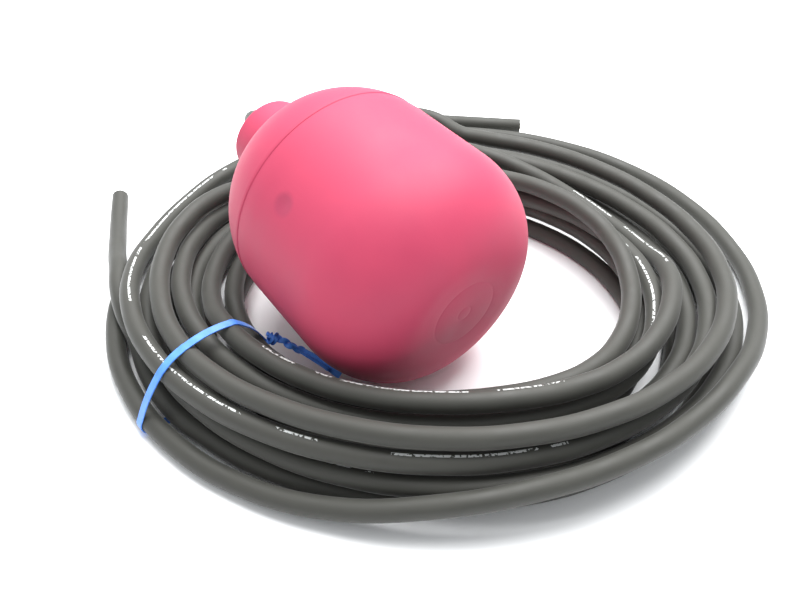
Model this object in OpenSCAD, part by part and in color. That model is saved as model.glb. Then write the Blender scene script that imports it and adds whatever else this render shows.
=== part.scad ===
// Float switch for a pump: a hollow moulded float that holds a ball-operated snap switch,
// on a coil of two-core cable. Millimetres, +Z up, the float lies on the floor at the origin.
// Inside the float everything is built round its own axis: z runs from the blunt face to the
// neck, x points up when the float lies, y is across.

/* [Float shell] */
// Largest outside diameter of the float
float_d = 109; // [102:1:116]
// Diameter of the flat blunt face
face_d = 46; // [40:1:52]
// Length of the rounded rim between the blunt face and the flank
rim_l = 36; // [32:1:40]
// Length of the straight flank
flank_l = 38; // [35:1:42]
// Radius that the flank loses towards the shoulder, for mould draft
flank_draft = 1.3; // [0.6:0.1:2.4]
// Length of the rounded shoulder
shoulder_l = 47; // [43:1:52]
// Half-axis of the rounded shoulder across the float
shoulder_r = 38; // [36:1:40]
// Thickness of the shell
wall = 3; // [2.4:0.2:3.6]
// Distance of the seam past the start of the shoulder
seam_in = 10.5; // [9:0.5:14]
// Length of the lap joint at the seam
lap_l = 5; // [4:0.5:7]
// How far the edge of the cap stands proud of the body
cap_step = 0.5; // [0.3:0.1:0.8]
// Outside diameter of the neck
neck_d = 38; // [34:0.5:40]
// Length of the neck
neck_l = 20; // [17:1:24]
// Bore of the neck
neck_bore_d = 26; // [24:0.5:28]
// Upward tilt of the float's axis as it lies against the coil
lean = 8; // [6:0.5:10]
// Number of moulded ribs in each shell
rib_count = 6; // [4:1:8]
// Thickness of the ribs
rib_t = 2; // [1.6:0.2:2.6]

/* [Capsule] */
// Diameter of the steel ball
ball_d = 18; // [16:0.5:19]
// Wall round the bore of the ball
nose_wall = 5; // [4:0.5:6]
// Floor under the ball
nose_floor = 3; // [2:0.5:4]
// Wall of the switch chamber
chamber_wall = 3; // [2.4:0.2:3.6]
// Room between the switch and the chamber's wall
chamber_room = 1.7; // [1.4:0.1:2.4]
// Thickness of the flange and of the capsule's cap
flange_t = 4; // [3.4:0.2:5]
// Depth of the cap's spigot in the chamber
spigot_l = 5; // [4.6:0.2:6]
// Diameter of the seal ring's section
seal_t = 2; // [1.6:0.1:2.2]
// Number of screws in the flange
flange_screws = 3; // [3:1:6]
// Diameter of the flange screws
flange_screw_d = 2; // [1.8:0.1:2.2]
// Thickness of the float's inner tubes that hold the capsule
seat_wall = 3; // [2.4:0.2:3.4]

/* [Switch] */
// Length of the switch case
case_l = 28; // [28:0.5:31]
// Height of the switch case
case_h = 16; // [16:0.5:18]
// Width of the switch case
case_w = 10.4; // [10.4:0.2:12]
// Wall of the switch case
case_wall = 1.2; // [1:0.1:1.4]
// Distance from the lever's pin to the ball's axis
lever_offset = 14; // [13.6:0.1:14.4]
// Length of the lever from its pin
lever_l = 20; // [18:0.5:21]
// Width of the lever
lever_w = 6; // [5:0.2:6.4]
// Thickness of the lever
lever_t = 1; // [0.8:0.1:1.2]
// Tilt of the lever at each end of its travel
lever_tilt = 10; // [9:0.5:11]
// Diameter of the lever's pin
pin_d = 1.6; // [1.4:0.1:1.8]
// Distance from the lever's pin to the plunger
plunger_offset = 5.5; // [5:0.1:6]
// Diameter of the plunger
plunger_d = 2.5; // [2.2:0.1:2.8]
// Distance from the plunger to the pivot of the contact arm
arm_offset = 17.5; // [17:0.1:18]
// Width of the terminals
terminal_w = 4.8; // [4.4:0.1:5.2]
// Thickness of the terminals
terminal_t = 0.8; // [0.6:0.1:0.9]
// Length of the solder tabs above the case
tab_l = 8; // [7:0.5:9]
// Diameter of the screws through the switch
case_screw_d = 2.6; // [2.2:0.1:2.8]
// Thickness of the bracket
bracket_t = 2; // [1.6:0.1:2.2]

/* [Cable] */
// Outside diameter of the cable
cable_d = 9; // [8.8:0.1:9.2]
// Outside diameter of one insulated core
core_d = 2.4; // [2:0.1:2.6]
// Length of the potting plug in the root of the neck
plug_l = 10; // [8:0.5:12]
// Length of the crimp ring
crimp_l = 5; // [4:0.5:6]
// Thickness of the crimp ring
crimp_t = 1.8; // [1.4:0.1:2.2]
// Length of the strain relief outside the neck
relief_l = 8; // [6:0.5:9]
// Number of turns of the coil
coil_turns = 11.6; // [11.5:0.1:11.7]

/* [Tie] */
// Width of the tie
tie_w = 3.8; // [2.4:0.2:4.6]
// Thickness of the tie
tie_t = 0.5; // [0.4:0.1:0.6]

/* [Hidden] */

$fn = 96;

// Clearances
run_gap = 0.05;      // radial, between pieces that move in each other
seat_gap = 0.1;      // between pieces that rest on or in each other
touch_gap = 0.05;    // between the ball, the lever, the plunger and the arm at rest
stop_gap = 1;        // left between moving pieces and the case at full travel

// Colours
pink = "#f2607f";
shaded_pink = "#e8587a";
cable_grey = "#55564f";
cut_grey = "#8b8b86";
tie_blue = "#6ea3ee";
rubber_black = "#2c2c2e";
resin_amber = "#b98a3c";
capsule_white = "#e9e6dc";
case_black = "#25262a";
cover_red = "#8e2f2b";
steel = "#b9bcc0";
dark_steel = "#8a8d92";
brass = "#c9a24a";
white = "#f2f2f0";
solder = "#c4c6c8";

// ---- float shell, measured along its axis ----
face_r = face_d/2;
float_r = float_d/2;
shoulder_at = rim_l + flank_l;              // start of the rounded shoulder
shoulder_top_r = float_r - flank_draft;     // radius there
shoulder_axis_r = shoulder_top_r - shoulder_r;
neck_r = neck_d/2;
neck_bore_r = neck_bore_d/2;
seam_at = shoulder_at + seam_in;
neck_root = shoulder_at + shoulder_l;
float_l = neck_root + neck_l;
curve_steps = 14;

// Points of the rounded rim, moved inwards by inset, from the blunt face to the flank
function rim_curve(inset) = [for (i = [0:curve_steps]) let (t = 90*i/curve_steps)
    [face_r + (float_r - face_r - inset)*sin(t), rim_l - (rim_l - inset)*cos(t)]];

// Radius of the shoulder at the height z, moved inwards by inset
function shoulder_radius(z, inset) = let (h = (z - shoulder_at)/(shoulder_l - inset))
    shoulder_axis_r + (shoulder_r - inset)*sqrt(max(0, 1 - h*h));

// Height of the shoulder at the radius r, moved inwards by inset
function shoulder_height(r, inset) = let (w = max(0, r - shoulder_axis_r)/(shoulder_r - inset))
    shoulder_at + (shoulder_l - inset)*sqrt(max(0, 1 - w*w));

// Points of the shoulder from the height z down to the radius r; the inset fades from
// inset_low to inset_high on the way
function shoulder_curve(z, r, inset_low, inset_high) =
    let (t0 = asin((z - shoulder_at)/(shoulder_l - inset_low)),
         t1 = acos(max(0, r - shoulder_axis_r)/(shoulder_r - inset_high)))
    [for (i = [0:curve_steps]) let (k = i/curve_steps, t = t0 + (t1 - t0)*k,
            inset = inset_low + (inset_high - inset_low)*k)
        [shoulder_axis_r + (shoulder_r - inset)*cos(t), shoulder_at + (shoulder_l - inset)*sin(t)]];

function reversed(list) = [for (i = [len(list) - 1:-1:0]) list[i]];

// ---- lie of the float: its lowest point touches the floor, its box is centred on x ----
rim_low = atan((float_r - face_r)/rim_l/tan(lean));
axis_z = (face_r + (float_r - face_r)*sin(rim_low))*cos(lean)
       - rim_l*(1 - cos(rim_low))*sin(lean);
rim_front = atan((float_r - face_r)/rim_l*tan(lean));
front_reach = (face_r + (float_r - face_r)*sin(rim_front))*sin(lean)
            - rim_l*(1 - cos(rim_front))*cos(lean);
axis_x = (float_l*cos(lean) + neck_r*sin(lean) - front_reach)/2;

module on_float_axis() {
    translate([axis_x, 0, axis_z]) rotate([0, lean - 90, 0]) children();
}

// The point at the height z on the float's axis
function axis_point(z) = [axis_x - z*cos(lean), 0, axis_z + z*sin(lean)];
axis_dir = [-cos(lean), 0, sin(lean)];

// ---- capsule and switch, measured along the float's axis ----
ball_r = ball_d/2;
ball_bore_r = ball_r + run_gap;
nose_r = ball_bore_r + nose_wall;
nose_at = wall + seat_gap;
ball_at = nose_at + nose_floor + touch_gap + ball_r;          // centre of the ball at rest
// Height of the lever's pin over the ball's centre when the lever touches the ball
pin_over_ball = lever_offset*tan(lever_tilt) + (ball_r + lever_t/2)/cos(lever_tilt);
ball_travel = 2*lever_offset*tan(lever_tilt);
plunger_travel = 2*plunger_offset*tan(lever_tilt);
pin_at = ball_at + pin_over_ball + touch_gap;
chamber_at = ball_at + ball_travel + 2;                        // floor of the switch chamber
case_at = pin_at + lever_l*tan(lever_tilt) + lever_t + stop_gap;
case_top = case_at + case_h;
case_y0 = -lever_offset - 2;                                   // ends of the case across
case_y1 = case_y0 + case_l;
case_x1 = case_w/2;
chamber_r = norm([max(-case_y0, case_y1), case_x1]) + chamber_room;
chamber_top = case_top + tab_l + 9.4;
flange_screw_r = flange_screw_d/2;
flange_screw_head = 1.4;
chamber_out_r = chamber_r + chamber_wall;
flange_screw_pcr = chamber_out_r + flange_screw_r + 1.2;
flange_r = flange_screw_pcr + flange_screw_r + 1.3;
cap_top = chamber_top + flange_t;
spigot_r = chamber_r - seat_gap;
seat_r = nose_r + seat_gap;                                    // bore of the nose seat
column_out_r = flange_screw_pcr - flange_screw_r - 1.8;
column_r = column_out_r - seat_wall;
column_at = cap_top + seat_gap;

// ---- inside the switch ----
pin_r = pin_d/2;
barrel_r = pin_r + run_gap + 0.9;
plunger_r = plunger_d/2;
plunger_y = -lever_offset + plunger_offset;
plunger_tip = pin_at - plunger_offset*tan(lever_tilt) + (lever_t/2 + plunger_r)/cos(lever_tilt)
            + touch_gap;                                       // centre of its rounded tip
arm_y = plunger_y + arm_offset;
arm_travel = atan(plunger_travel/arm_offset);                  // turn of the contact arm
arm_t = 0.6;
cavity_at = case_at + case_wall;
cavity_top = case_at + case_h*0.62;
arm_at = cavity_at + 3.7;                                      // height of the arm's pivot
arm_tip_y = plunger_y - 3.6;
arm_tip_l = arm_y - arm_tip_y;
contact_r = 1.1;
contact_t = 0.6;
cover_t = 1.2;
case_screw_r = case_screw_d/2;
case_screw_z = case_top - case_screw_r - 1.4;
case_screw_y = [-10, 5];
terminal_r = terminal_w/2;
closed_y = case_y0 + case_wall + terminal_t/2 + 0.1;
open_y = plunger_y + 3;
tab_top = case_top + tab_l;

// ---- cable and neck ----
cable_r = cable_d/2;
core_r = core_d/2;
plug_at = neck_root - wall;
grommet_at = plug_at + plug_l + seat_gap;
relief_top = float_l + relief_l;
crimp_at = plug_at - crimp_l - seat_gap;
jacket_at = crimp_at - 1;                                      // end of the cable's jacket
entry_top = float_l + 9;                                       // here the free cable starts
core_y = [arm_y, open_y];                                      // the cores at the switch
core_pitch = core_r + 0.15;                                    // and in the jacket

// ---- vectors ----
function unit(v) = v/norm(v);
function total(v) = v*[for (i = [0:len(v) - 1]) 1];

// ---- free stretches of the cable ----
// Free end, over the outermost turn and under the tie, to the coil
tail_route = [
    [-155.4, -51.6, 4.5], [-143, -58, 4.5], [-126, -66, 6.5], [-108, -74, 10], [-92, -80, 13.9],
    [-76, -87, 14.6], [-60, -92, 12.7], [-45, -94.2, 8.2], [-28, -98.5, 5], [-10, -100.8, 5]];
tail_stub = 12;
tail_tip = tail_route[0] + tail_stub*unit(tail_route[0] - tail_route[1]);

// From the coil to the neck, behind the float
lead_route = [
    [-95, 125, 26], [-111, 106, 28], [-121, 83, 31], [-124, 59, 37], [-119, 36, 46],
    [-107, 17, 57], [-93, 5, 66]];

// Second, short length of cable on the floor behind the coil, with a square cut
spare_ends = [[-79, 189, 4.5], [-171, 101, 4.5]];

// The twisted tails of the tie
twist_route = [
    [1, -52.6, 18.5], [5, -47.5, 16.5], [11, -44.5, 14.5], [18, -42.5, 13.8], [26, -40, 12.6],
    [34, -38, 11]];

// ---- coil of cable: one unbroken tube that spirals in, out, in and out again ----
per_turn = 24;
coil_z = 0.4*cable_d;                      // height of the lowest turns, cut flat underneath
coil_reach = cable_d + 1;                  // distance kept between turns that cross
coil_start = 275.5;                        // direction of the first point, in degrees
// Share of the way from the inner to the outer ring, over the turns
coil_swing = [[0, 0.82], [2.95, 0], [5.75, 1], [6.4, 1], [8.9, 0], [9.9, 0.16], [11.6, 0.82]];
// Inner and outer ring: half-axes, centre and turn
ring_a = [91, 148];
ring_b = [78.5, 132];
ring_x = [18.5, 10];
ring_y = [24, 29.5];
ring_turn = [31.5, 44.5];
ring_bulge = 16;                           // extra radius of the loose outer turns
ring_bulge_at = 112;
loose_turn = 6.57;                         // one loop lies loose outside the others
loose_width = 0.3;                         // turns on each side of it that it takes along
loose_out = 24;
wander = 0.8;                              // unevenness of the turns
tie_x = 0;                                 // the tie lies in this plane
tie_at = 259.5;
tie_lift = 1.8;                            // the tie lifts the lowest turns by this much
lead_lift = 18;                            // the last of the coil rises towards the neck

function coil_share(t) = total([for (k = [-6:6]) lookup(t + k/per_turn, coil_swing)])/13;
function between(pair, w) = pair[0] + (pair[1] - pair[0])*w;

function loose_share(t) = abs(t - loose_turn) < loose_width
    ? pow(cos(90*(t - loose_turn)/loose_width), 2) : 0;

function coil_plan(i) =
    let (t = i/per_turn, w = coil_share(t), a = coil_start + 360*t, turn = between(ring_turn, w),
         extra = wander*sin(2*a + 97*t) + 0.6*wander*sin(3*a - 132*t)
               + ring_bulge*w*pow(0.5 + 0.5*cos(a - ring_bulge_at), 2) + loose_out*loose_share(t),
         x = (between(ring_a, w) + extra)*cos(a - turn),
         y = (between(ring_b, w) + extra)*sin(a - turn))
    [between(ring_x, w) + x*cos(turn) - y*sin(turn),
     between(ring_y, w) + x*sin(turn) + y*cos(turn)];

// Height at which a cable over p rests on the stretch from a to b
function rest_height(p, a, b, reach) =
    let (p2 = [p[0], p[1]], a2 = [a[0], a[1]], d = [b[0], b[1]] - a2,
         t = min(1, max(0, (p2 - a2)*d/(d*d))), h = norm(p2 - a2 - t*d))
    h < reach ? a[2] + t*(b[2] - a[2]) + sqrt(reach*reach - h*h) : 0;

// The turns that lie over the tail; the others pass outside it or stay clear
function over_tail(t) = t > 6.1 || (t > 4.6 && t < 5.2);

// Lays each point of the plan on the turns below it, and on the tail where that lies under it
function settled(plan, floor_z, reach, done = []) =
    let (j = len(done))
    j == len(plan) ? done : settled(plan, floor_z, reach, concat(done, [[plan[j][0], plan[j][1],
        max(concat([floor_z[j]],
            [for (m = [j - per_turn:-per_turn:-2]) for (k = [m - 2:m + 1])
                if (k >= 0 && k + 1 <= j - per_turn/2)
                    rest_height(plan[j], done[k], done[k + 1], reach)],
            [for (k = [0:len(tail_route) - 2]) if (over_tail(j/per_turn))
                rest_height(plan[j], tail_route[k], tail_route[k + 1], reach)]))]]));

function softened(z) = [for (i = [0:len(z) - 1])
    i == 0 || i == len(z) - 1 ? z[i] : (z[i - 1] + 2*z[i] + z[i + 1])/4];
function heights(points) = [for (p = points) p[2]];

coil_count = round(coil_turns*per_turn);
coil_flat = [for (i = [0:coil_count]) coil_plan(i)];
coil_floor = [for (i = [0:coil_count]) let (a = coil_start + 360*i/per_turn)
    coil_z + tie_lift*pow(max(0, cos(a - tie_at)), 4)
    + lead_lift*min(1, max(0, (i - coil_count + 7)/3))];
coil_first = settled(coil_flat, coil_floor, coil_reach + 0.4);
coil_turned = settled(coil_flat, softened(softened(heights(coil_first))), coil_reach);

// Both ends of the coil run straight for one diameter
coil_in = let (d = coil_plan(1) - coil_plan(-1)) unit([d[0], d[1], 0]);
coil_out = unit(coil_turned[coil_count] - coil_turned[coil_count - 1]);
coil_path = concat([coil_turned[0] - cable_d*coil_in], coil_turned,
                   [coil_turned[coil_count] + cable_d*coil_out]);

// Least gap between turns, between points at least half a turn apart
function point_gap(p, a, b) = let (d = b - a, t = min(1, max(0, (p - a)*d/(d*d))))
    norm(p - a - t*d) - cable_d;
function least_gap(path) = min([for (i = [per_turn:len(path) - 1])
    min([for (k = [0:i - per_turn/2 - 1]) point_gap(path[i], path[k], path[k + 1])])]);
echo(least_coil_gap = least_gap(coil_path));  // cable_coil

// ---- tubes ----
// Directions of the route at each of its points
function directions(route) = let (last = len(route) - 1) [for (i = [0:last])
    unit(route[min(i + 1, last)] - route[max(i - 1, 0)])];

function ring_points(p, dir, r, sides) =
    let (side = unit(cross(dir, [0, 0, 1])), up = cross(side, dir))
    [for (s = [0:sides - 1]) let (a = 360*s/sides, q = p + r*(cos(a)*side + sin(a)*up))
        [q[0], q[1], max(0, q[2])]];

// A closed tube along the route; dirs gives the direction of every ring
module tube(route, dirs, r, sides) {
    rings = [for (i = [0:len(route) - 1]) ring_points(route[i], dirs[i], r, sides)];
    points = [for (ring = rings) each ring];
    last = (len(route) - 1)*sides;
    skin = [for (i = [0:len(route) - 2]) for (s = [0:sides - 1])
        let (a = i*sides + s, b = i*sides + (s + 1)%sides)
        each [[a, b, b + sides], [a, b + sides, a + sides]]];
    start_cap = [for (s = [1:sides - 2]) [0, s + 1, s]];
    end_cap = [for (s = [1:sides - 2]) [last, last + s, last + s + 1]];
    polyhedron(points, concat(skin, start_cap, end_cap), convexity = 12);
}

// The route's own directions, with the first and the last one given
function with_ends(dirs, first, last) = [for (i = [0:len(dirs) - 1])
    i == 0 ? first : i == len(dirs) - 1 ? last : dirs[i]];

// ---- helpers for round pieces ----
module ring_of(r_out, r_in, z0, z1) {
    translate([0, 0, z0]) difference() {
        cylinder(r = r_out, h = z1 - z0);
        translate([0, 0, -1]) cylinder(r = r_in, h = z1 - z0 + 2);
    }
}

// A radial plate: a profile of [radius, height] points, rib_t thick
module radial_plates(profile) {
    for (i = [0:rib_count - 1]) rotate([0, 0, 360*(i + 0.5)/rib_count])
        rotate([90, 0, 0]) linear_extrude(rib_t, center = true) polygon(profile);
}

// A round rod along x from x0 to x1, through [y, z]
module cross_rod(r, x0, x1, y, z) {
    translate([x0, y, z]) rotate([0, 90, 0]) cylinder(r = r, h = x1 - x0, $fn = 48);
}

module block(low, high) {
    translate(low) cube(high - low);
}

// ---- float ----
module float_body() {
    lap_in = wall/2 + seat_gap/2;
    boss_top = chamber_at - chamber_wall - seat_gap;
    rib_low = wall/2;
    color(pink) on_float_axis() union() {
        rotate_extrude() polygon(concat(
            [[0, 0]], rim_curve(0),
            shoulder_curve(shoulder_at, shoulder_radius(seam_at, 0), 0, 0),
            shoulder_curve(seam_at, shoulder_radius(seam_at + lap_l, lap_in), lap_in, lap_in),
            reversed(shoulder_curve(shoulder_at, shoulder_radius(seam_at + lap_l, wall), wall, wall)),
            reversed(rim_curve(wall)), [[0, wall]]));
        ring_of(seat_r + seat_wall, seat_r, rib_low, boss_top);
        radial_plates(concat([[seat_r + seat_wall/2, rib_low]],
            [for (p = rim_curve(wall/2)) if (p[0] > seat_r + seat_wall && p[1] < boss_top) p],
            [[seat_r + seat_wall/2, boss_top - 2]]));
    }
}

module float_cap() {
    edge = seam_at + seat_gap;
    lap_out = wall/2 - seat_gap/2;
    inner_edge = seam_at + lap_l + seat_gap;
    color(shaded_pink) on_float_axis() union() {
        rotate_extrude() polygon(concat(
            shoulder_curve(edge, neck_r, -cap_step, 0),
            [[neck_r, float_l - 1.2], [neck_r - 0.4, float_l - 0.4], [neck_r - 1.2, float_l],
             [neck_bore_r, float_l], [neck_bore_r, shoulder_height(neck_bore_r, wall)]],
            reversed(shoulder_curve(inner_edge, neck_bore_r, wall, wall)),
            reversed(shoulder_curve(edge, shoulder_radius(inner_edge, lap_out), lap_out, lap_out))));
        ring_of(column_out_r, column_r, column_at, shoulder_height(column_out_r, wall) + wall/2);
        radial_plates(concat([[column_out_r - seat_wall/2, neck_root - shoulder_l/2]],
            reversed([for (p = shoulder_curve(inner_edge, column_out_r, wall/2, wall/2))
                if (p[1] > neck_root - shoulder_l/2.4) p])));
    }
}

// ---- neck ----
module neck_grommet() {
    color(rubber_black) on_float_axis() rotate_extrude() polygon([
        [cable_r + seat_gap/2, grommet_at], [neck_bore_r - seat_gap/2, grommet_at],
        [neck_bore_r - seat_gap/2, float_l], [cable_r + 3.6, float_l],
        [cable_r + 1.4, relief_top - 0.6], [cable_r + 0.9, relief_top],
        [cable_r + seat_gap/2, relief_top]]);
}

module potting_plug() {
    color(resin_amber) on_float_axis()
        ring_of(neck_bore_r - seat_gap/2, cable_r + seat_gap/2, plug_at, plug_at + plug_l);
}

module cable_crimp() {
    color(dark_steel) on_float_axis() union() {
        ring_of(cable_r + crimp_t, cable_r + seat_gap/2, crimp_at, plug_at - seat_gap);
        ring_of(cable_r + crimp_t + 1, cable_r + seat_gap/2, crimp_at + crimp_l - 1.4, plug_at - seat_gap);
    }
}

module cable_entry() {
    color(cable_grey) on_float_axis() translate([0, 0, jacket_at])
        cylinder(r = cable_r, h = entry_top - jacket_at);
}

// A core from its solder tab through the capsule's cap to the cable's jacket
module core_wire(y_tab, y_end) {
    z0 = tab_top - 3;
    z1 = cap_top + 6;
    z2 = jacket_at - 6;
    steps = 6;
    // beside the tab on its far side, straight through the cap, then in to the jacket
    y0 = y_tab + (terminal_t/2 + core_r + 0.1);
    route = concat([[0, y0, z0], [0, y0, chamber_top - spigot_l - 2]], [for (i = [0:steps])
        let (t = i/steps, s = t*t*(3 - 2*t)) [0, y0 + (y_end - y0)*s, z1 + (z2 - z1)*t]],
        [[0, y_end, jacket_at]]);
    tube_along_axis(route);
}

module tube_along_axis(route) {
    dirs = with_ends(directions(route), [0, 0, 1], [0, 0, 1]);
    rings = [for (i = [0:len(route) - 1]) let (up = unit(cross(dirs[i], [1, 0, 0])))
        [for (s = [0:7]) route[i] + core_r*(cos(45*s)*[1, 0, 0] + sin(45*s)*up)]];
    last = (len(route) - 1)*8;
    skin = [for (i = [0:len(route) - 2]) for (s = [0:7])
        let (a = i*8 + s, b = i*8 + (s + 1)%8) each [[a, b + 8, b], [a, a + 8, b + 8]]];
    start_cap = [for (s = [1:6]) [0, s, s + 1]];
    end_cap = [for (s = [1:6]) [last, last + s + 1, last + s]];
    polyhedron([for (ring = rings) each ring], concat(skin, start_cap, end_cap), convexity = 4);
}

module wire_black() {
    color(case_black) on_float_axis() core_wire(core_y[0], core_pitch);
}

module wire_white() {
    color(white) on_float_axis() core_wire(core_y[1], -core_pitch);
}

module solder_joints() {
    color(solder) on_float_axis() for (y = core_y)
        translate([0, y + terminal_t/2 + core_r + 0.1, tab_top - 3.1])
            mirror([0, 0, 1]) cylinder(r1 = core_r, r2 = core_r*0.6, h = 2.4, $fn = 32);
}

// ---- capsule ----
module flange_circle() {
    for (i = [0:flange_screws - 1]) rotate([0, 0, 360*i/flange_screws])
        translate([flange_screw_pcr, 0, 0]) children();
}

module capsule_body() {
    flange_at = chamber_top - flange_t;
    bore_at = nose_at + nose_floor;
    color(capsule_white) on_float_axis() difference() {
        rotate_extrude() polygon([
            [0, nose_at], [nose_r - 1, nose_at], [nose_r, nose_at + 1],
            [nose_r, chamber_at - chamber_wall], [chamber_out_r, chamber_at - chamber_wall],
            [chamber_out_r, flange_at - 2], [flange_r, flange_at], [flange_r, chamber_top],
            [chamber_r, chamber_top], [chamber_r, chamber_at], [ball_bore_r, chamber_at],
            [ball_bore_r, bore_at], [0, bore_at]]);
        flange_circle() translate([0, 0, flange_at + 0.6])
            cylinder(r = flange_screw_r + run_gap, h = flange_t, $fn = 32);
    }
}

module capsule_cap() {
    groove_r = spigot_r - seal_t + seat_gap/2;
    groove_at = chamber_top - spigot_l/2 - seal_t/2 - 0.2;
    color(capsule_white) on_float_axis() difference() {
        rotate_extrude() polygon([
            [0, chamber_top - spigot_l], [spigot_r - 0.5, chamber_top - spigot_l],
            [spigot_r, chamber_top - spigot_l + 0.5], [spigot_r, groove_at],
            [groove_r, groove_at], [groove_r, groove_at + seal_t + 0.4],
            [spigot_r, groove_at + seal_t + 0.4], [spigot_r, chamber_top + 0.02],
            [flange_r, chamber_top + 0.02], [flange_r, cap_top - 0.6], [flange_r - 0.6, cap_top],
            [0, cap_top]]);
        flange_circle() translate([0, 0, chamber_top - 1])
            cylinder(r = flange_screw_r + 0.2, h = flange_t + 2, $fn = 32);
        for (y = core_y) translate([0, y + terminal_t/2 + core_r + 0.1, chamber_top - spigot_l - 1])
            cylinder(r = core_r + 0.15, h = spigot_l + flange_t + 2, $fn = 32);
    }
}

module capsule_seal() {
    color(rubber_black) on_float_axis() translate([0, 0, chamber_top - spigot_l/2])
        rotate_extrude() translate([chamber_r - seal_t/2 - 0.02, 0])
            circle(r = seal_t/2 - 0.02, $fn = 32);
}

module capsule_screws() {
    color(steel) on_float_axis() flange_circle() difference() {
        union() {
            translate([0, 0, cap_top + 0.02])
                cylinder(r = flange_screw_r + 0.9, h = flange_screw_head, $fn = 32);
            translate([0, 0, chamber_top - flange_t + 1])
                cylinder(r = flange_screw_r, h = 2*flange_t - 1 + 0.1, $fn = 32);
        }
        translate([-3, -0.3, cap_top + flange_screw_head - 0.5]) cube([6, 0.6, 1]);
    }
}

// ---- switch mechanism ----
module ball() {
    color(steel) on_float_axis() translate([0, 0, ball_at]) sphere(r = ball_r);
}

module lever() {
    color(dark_steel) on_float_axis() translate([0, -lever_offset, pin_at])
        rotate([-lever_tilt, 0, 0]) difference() {
            union() {
                cross_rod(barrel_r, -lever_w/2, lever_w/2, 0, 0);
                block([-lever_w/2, 0, -lever_t/2], [lever_w/2, lever_l - lever_w/2, lever_t/2]);
                translate([0, lever_l - lever_w/2, -lever_t/2])
                    cylinder(r = lever_w/2, h = lever_t, $fn = 48);
            }
            cross_rod(pin_r + run_gap, -lever_w, lever_w, 0, 0);
        }
}

module lever_pin() {
    color(steel) on_float_axis() cross_rod(pin_r, -case_x1, case_x1, -lever_offset, pin_at);
}

module switch_case() {
    ear_x = lever_w/2 + 0.15;
    color(case_black) on_float_axis() difference() {
        union() {
            block([-case_x1, case_y0, case_at], [case_x1 - cover_t, case_y1, case_top]);
            for (side = [-1, 1]) {
                x0 = side < 0 ? -case_x1 : ear_x;
                x1 = side < 0 ? -ear_x : case_x1 - cover_t;
                block([x0, -lever_offset - 2, pin_at], [x1, -lever_offset + 2, case_at + 0.5]);
                cross_rod(2, x0, x1, -lever_offset, pin_at);
            }
        }
        block([-case_x1 + case_wall, case_y0 + case_wall, cavity_at],
              [case_x1, case_y1 - case_wall, cavity_top]);
        translate([0, plunger_y, case_at - 1])
            cylinder(r = plunger_r + run_gap, h = case_wall + 2, $fn = 48);
        for (y = [closed_y, open_y, arm_y]) terminal_slot(y);
        for (y = case_screw_y)
            cross_rod(case_screw_r + run_gap, -case_x1 - 1, case_x1 + 1, y, case_screw_z);
        cross_rod(pin_r + 0.01, -case_x1 - 1, case_x1 + 1, -lever_offset, pin_at);
    }
}

// Slot in the case for the blade of a terminal, centred on y
module terminal_slot(y) {
    g = 0.04;
    block([-terminal_r - g, y - terminal_t/2 - g, cavity_top - 1],
          [terminal_r + g, y + terminal_t/2 + g, case_top + 1]);
}

module switch_cover() {
    color(cover_red) on_float_axis() difference() {
        block([case_x1 - cover_t + 0.02, case_y0, case_at], [case_x1, case_y1, case_top]);
        for (y = case_screw_y)
            cross_rod(case_screw_r + run_gap, 0, case_x1 + 1, y, case_screw_z);
    }
}

module plunger() {
    arm_low = arm_at - (arm_y - plunger_y)*tan(arm_travel/2) - arm_t/2/cos(arm_travel/2);
    top = arm_low - touch_gap;
    color(white) on_float_axis() translate([0, plunger_y, 0]) rotate_extrude() polygon(concat(
        [for (i = [0:8]) let (t = 90*i/8)
            [plunger_r*sin(t), plunger_tip - plunger_r*cos(t)]],
        [[plunger_r, top - 0.8], [plunger_r*0.4, top], [0, top]]));
}

module contact_arm() {
    color(brass) on_float_axis() translate([0, arm_y, arm_at]) rotate([arm_travel/2, 0, 0]) union() {
        cross_rod(0.6, -terminal_r, terminal_r, 0, 0);
        block([-1.1, -3.2, -arm_t/2], [1.1, 0, arm_t/2]);
        block([-terminal_r + 0.2, -arm_tip_l - 1.4, -arm_t/2], [terminal_r - 0.2, -3, arm_t/2]);
        translate([0, -arm_tip_l, -arm_t/2 - contact_t])
            cylinder(r = contact_r, h = arm_t + 2*contact_t, $fn = 32);
    }
}

// Height of the arm's middle at its tip when it is turned by a
function tip_height(a) = arm_at - arm_tip_l*sin(a);

module blade(y) {
    block([-terminal_r, y - terminal_t/2, cavity_top - 0.9], [terminal_r, y + terminal_t/2, tab_top]);
}

module common_terminal() {
    color(brass) on_float_axis() difference() {
        union() {
            blade(arm_y);
            block([-terminal_r, arm_y - 1.3, arm_at + 1.4], [terminal_r, arm_y + 1.3, cavity_top - 0.1]);
            for (side = [-1, 1]) {
                x0 = side < 0 ? -terminal_r : 1.2;
                x1 = side < 0 ? -1.2 : terminal_r;
                block([x0, arm_y - 1.3, arm_at - 1.3], [x1, arm_y + 1.3, arm_at + 1.5]);
            }
        }
        cross_rod(0.6 + run_gap, -terminal_r - 1, terminal_r + 1, arm_y, arm_at);
    }
}

module open_terminal() {
    face = tip_height(-arm_travel/2) + arm_t/2 + contact_t + 0.12;
    color(brass) on_float_axis() union() {
        blade(open_y);
        block([-terminal_r, arm_tip_y - 1.4, face + contact_t],
              [terminal_r, open_y + terminal_t/2, face + contact_t + terminal_t]);
        block([-terminal_r, open_y - terminal_t/2, face + contact_t],
              [terminal_r, open_y + terminal_t/2, cavity_top]);
        translate([0, arm_tip_y, face]) cylinder(r = contact_r, h = contact_t + 0.1, $fn = 32);
    }
}

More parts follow.
